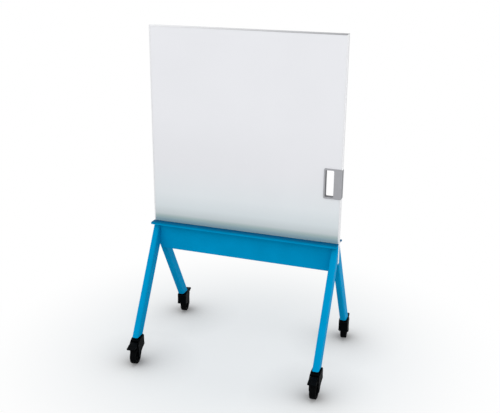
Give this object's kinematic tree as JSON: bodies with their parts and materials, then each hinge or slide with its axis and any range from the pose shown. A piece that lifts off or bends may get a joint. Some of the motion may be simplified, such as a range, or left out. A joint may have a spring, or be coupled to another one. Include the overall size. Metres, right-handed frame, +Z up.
{
  "type": "rolling whiteboard",
  "caption": "Rolling double-sided whiteboard held between two rails on splayed tube legs, with a slotted pull handle on one edge and braked swivel casters.",
  "frame": {"origin": "on the floor, under the middle of the board", "axes": "+X along the board towards the handle, +Y to the back, +Z up"},
  "size_m": [1.103, 0.8634, 1.811],
  "materials": {
    "writing_surface": "low-gloss white enamel on steel",
    "board_core": "pressed wood core, hidden",
    "edge_profile": "satin light-grey",
    "handle": "fine-textured grey moulding",
    "blue_paint": "satin powder coat, bright blue",
    "caster_plastic": "fine-textured black nylon",
    "hub_plastic": "smooth black nylon",
    "tyre_rubber": "matte black rubber",
    "caster_steel": "black-plated steel",
    "screw_steel": "zinc-plated steel"
  },
  "bodies": {
    "frame": {"board_core": "board_core", "front_skin": "writing_surface", "rear_skin": "writing_surface", "edge_left": "edge_profile", "edge_right": "edge_profile", "edge_top": "edge_profile", "edge_bottom": "edge_profile", "handle_front": "handle", "handle_rear": "handle", "handle_screw_lower": "screw_steel", "handle_screw_upper": "screw_steel", "front_rail": "blue_paint", "rear_rail": "blue_paint", "board_screw_1": "screw_steel", "board_screw_2": "screw_steel", "board_screw_3": "screw_steel", "board_screw_4": "screw_steel", "board_screw_5": "screw_steel", "leg_front_left": "blue_paint", "leg_plug_front_left": "caster_plastic", "caster_stem_front_left": "caster_steel", "leg_front_right": "blue_paint", "leg_plug_front_right": "caster_plastic", "caster_stem_front_right": "caster_steel", "leg_rear_left": "blue_paint", "leg_plug_rear_left": "caster_plastic", "caster_stem_rear_left": "caster_steel", "leg_rear_right": "blue_paint", "leg_plug_rear_right": "caster_plastic", "caster_stem_rear_right": "caster_steel"},
    "caster_front_left": {"swivel_race_front_left": "caster_steel", "hood_front_left": "caster_plastic", "axle_front_left": "caster_steel", "pedal_pin_front_left": "caster_steel"},
    "wheel_front_left": {"wheel_hub_front_left": "hub_plastic", "tyre_front_left": "tyre_rubber"},
    "pedal_front_left": {"brake_pedal_front_left": "caster_plastic"},
    "caster_front_right": {"swivel_race_front_right": "caster_steel", "hood_front_right": "caster_plastic", "axle_front_right": "caster_steel", "pedal_pin_front_right": "caster_steel"},
    "wheel_front_right": {"wheel_hub_front_right": "hub_plastic", "tyre_front_right": "tyre_rubber"},
    "pedal_front_right": {"brake_pedal_front_right": "caster_plastic"},
    "caster_rear_left": {"swivel_race_rear_left": "caster_steel", "hood_rear_left": "caster_plastic", "axle_rear_left": "caster_steel", "pedal_pin_rear_left": "caster_steel"},
    "wheel_rear_left": {"wheel_hub_rear_left": "hub_plastic", "tyre_rear_left": "tyre_rubber"},
    "pedal_rear_left": {"brake_pedal_rear_left": "caster_plastic"},
    "caster_rear_right": {"swivel_race_rear_right": "caster_steel", "hood_rear_right": "caster_plastic", "axle_rear_right": "caster_steel", "pedal_pin_rear_right": "caster_steel"},
    "wheel_rear_right": {"wheel_hub_rear_right": "hub_plastic", "tyre_rear_right": "tyre_rubber"},
    "pedal_rear_right": {"brake_pedal_rear_right": "caster_plastic"}
  },
  "joints": [
    {"name": "swivel_front_left", "type": "hinge", "parent": "frame", "child": "caster_front_left", "pos_m": [-0.515, -0.3063, 0.138], "axis": [0, 0, 1], "continuous": true},
    {"name": "roll_front_left", "type": "hinge", "parent": "caster_front_left", "child": "wheel_front_left", "pos_m": [-0.50878, -0.35057, 0.05], "axis": [0.9903, 0.1392, 0], "continuous": true},
    {"name": "brake_front_left", "type": "hinge", "parent": "caster_front_left", "child": "pedal_front_left", "pos_m": [-0.50693, -0.36374, 0.112], "axis": [0.9903, 0.1392, 0], "range_deg": [0, 14]},
    {"name": "swivel_front_right", "type": "hinge", "parent": "frame", "child": "caster_front_right", "pos_m": [0.515, -0.3063, 0.138], "axis": [0, 0, 1], "continuous": true},
    {"name": "roll_front_right", "type": "hinge", "parent": "caster_front_right", "child": "wheel_front_right", "pos_m": [0.51656, -0.35098, 0.05], "axis": [0.9994, 0.0349, 0], "continuous": true},
    {"name": "brake_front_right", "type": "hinge", "parent": "caster_front_right", "child": "pedal_front_right", "pos_m": [0.51702, -0.36427, 0.112], "axis": [0.9994, 0.0349, 0], "range_deg": [0, 14]},
    {"name": "swivel_rear_left", "type": "hinge", "parent": "frame", "child": "caster_rear_left", "pos_m": [-0.515, 0.3063, 0.138], "axis": [0, 0, 1], "continuous": true},
    {"name": "roll_rear_left", "type": "hinge", "parent": "caster_rear_left", "child": "wheel_rear_left", "pos_m": [-0.52276, 0.35032, 0.05], "axis": [-0.9848, -0.1736, 0], "continuous": true},
    {"name": "brake_rear_left", "type": "hinge", "parent": "caster_rear_left", "child": "pedal_rear_left", "pos_m": [-0.52507, 0.36342, 0.112], "axis": [-0.9848, -0.1736, 0], "range_deg": [0, 14]},
    {"name": "swivel_rear_right", "type": "hinge", "parent": "frame", "child": "caster_rear_right", "pos_m": [0.515, 0.3063, 0.138], "axis": [0, 0, 1], "continuous": true},
    {"name": "roll_rear_right", "type": "hinge", "parent": "caster_rear_right", "child": "wheel_rear_right", "pos_m": [0.50955, 0.35067, 0.05], "axis": [-0.9925, -0.1219, 0], "continuous": true},
    {"name": "brake_rear_right", "type": "hinge", "parent": "caster_rear_right", "child": "pedal_rear_right", "pos_m": [0.50793, 0.36387, 0.112], "axis": [-0.9925, -0.1219, 0], "range_deg": [0, 14]}
  ]
}
